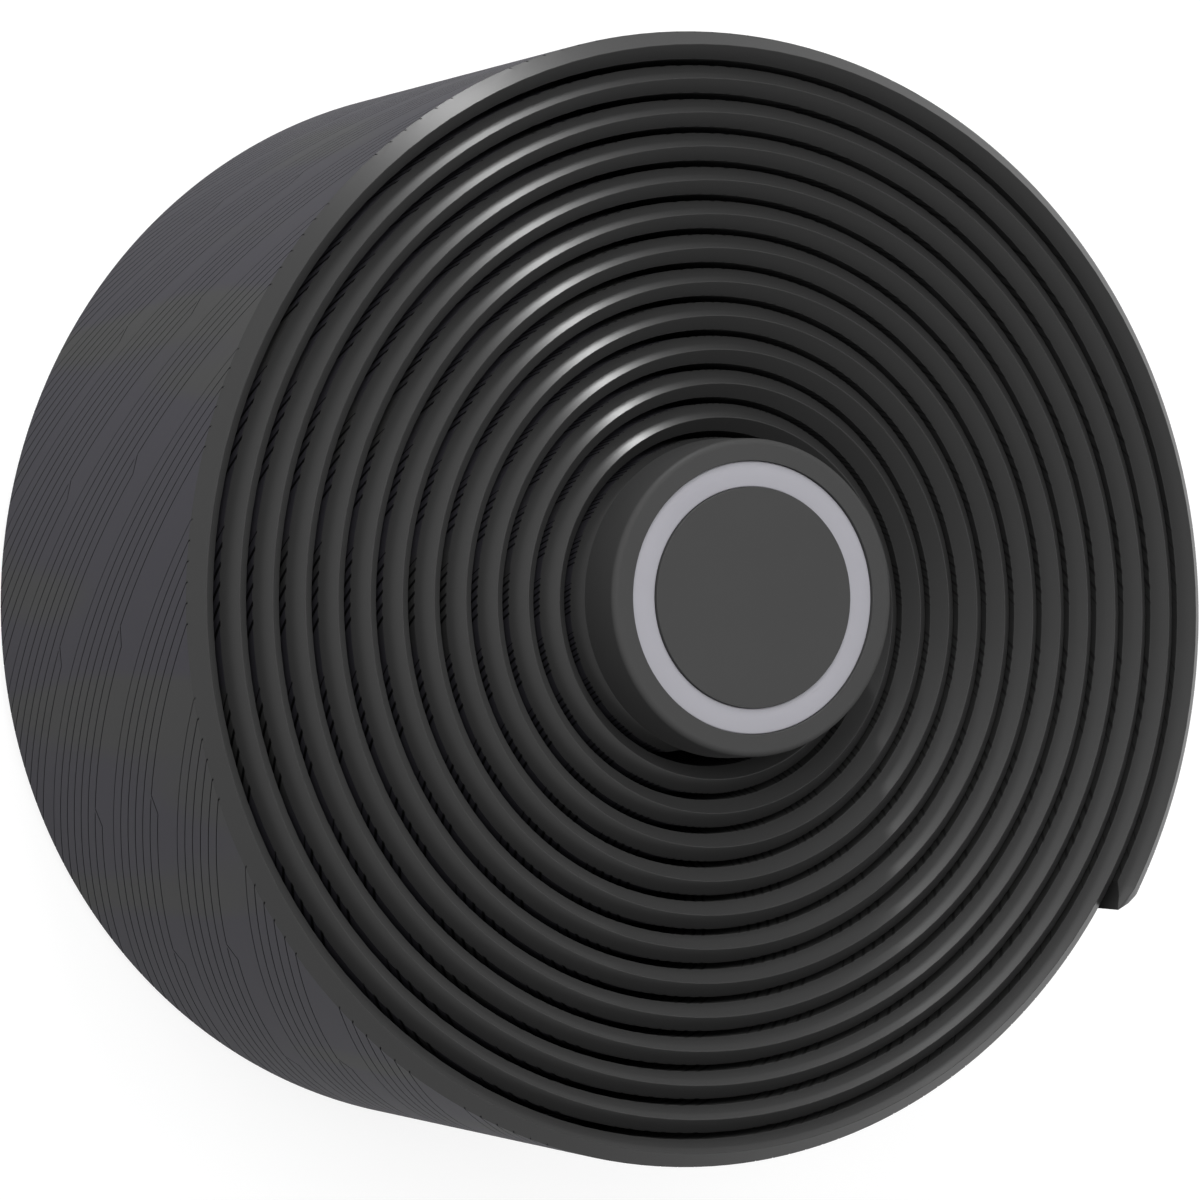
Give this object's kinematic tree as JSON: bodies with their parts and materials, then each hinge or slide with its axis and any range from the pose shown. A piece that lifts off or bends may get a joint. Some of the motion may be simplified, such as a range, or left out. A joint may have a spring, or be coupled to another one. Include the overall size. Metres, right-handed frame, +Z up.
{
  "type": "handlebar tape roll",
  "caption": "Padded handlebar tape wound into a tight flat spiral, standing on its end, with a round bar-end plug pushed into its core.",
  "frame": {"origin": "under the middle of the roll's outline, on the surface that the roll stands on", "axes": "+Z up along the roll's axis, from the end it stands on to the plug's cap; +X and +Y across the roll, with the tape's outer end towards +X and a little -Y"},
  "size_m": [0.0852, 0.0838, 0.0455],
  "materials": {
    "tape": "satin black foam tape skin with fine diagonal grooves",
    "plug": "fine satin moulded black plastic",
    "ring": "smooth pale grey moulded plastic"
  },
  "bodies": {
    "root": {"tape": "tape", "end_plug": "plug", "plug_ring": "ring"}
  },
  "joints": []
}
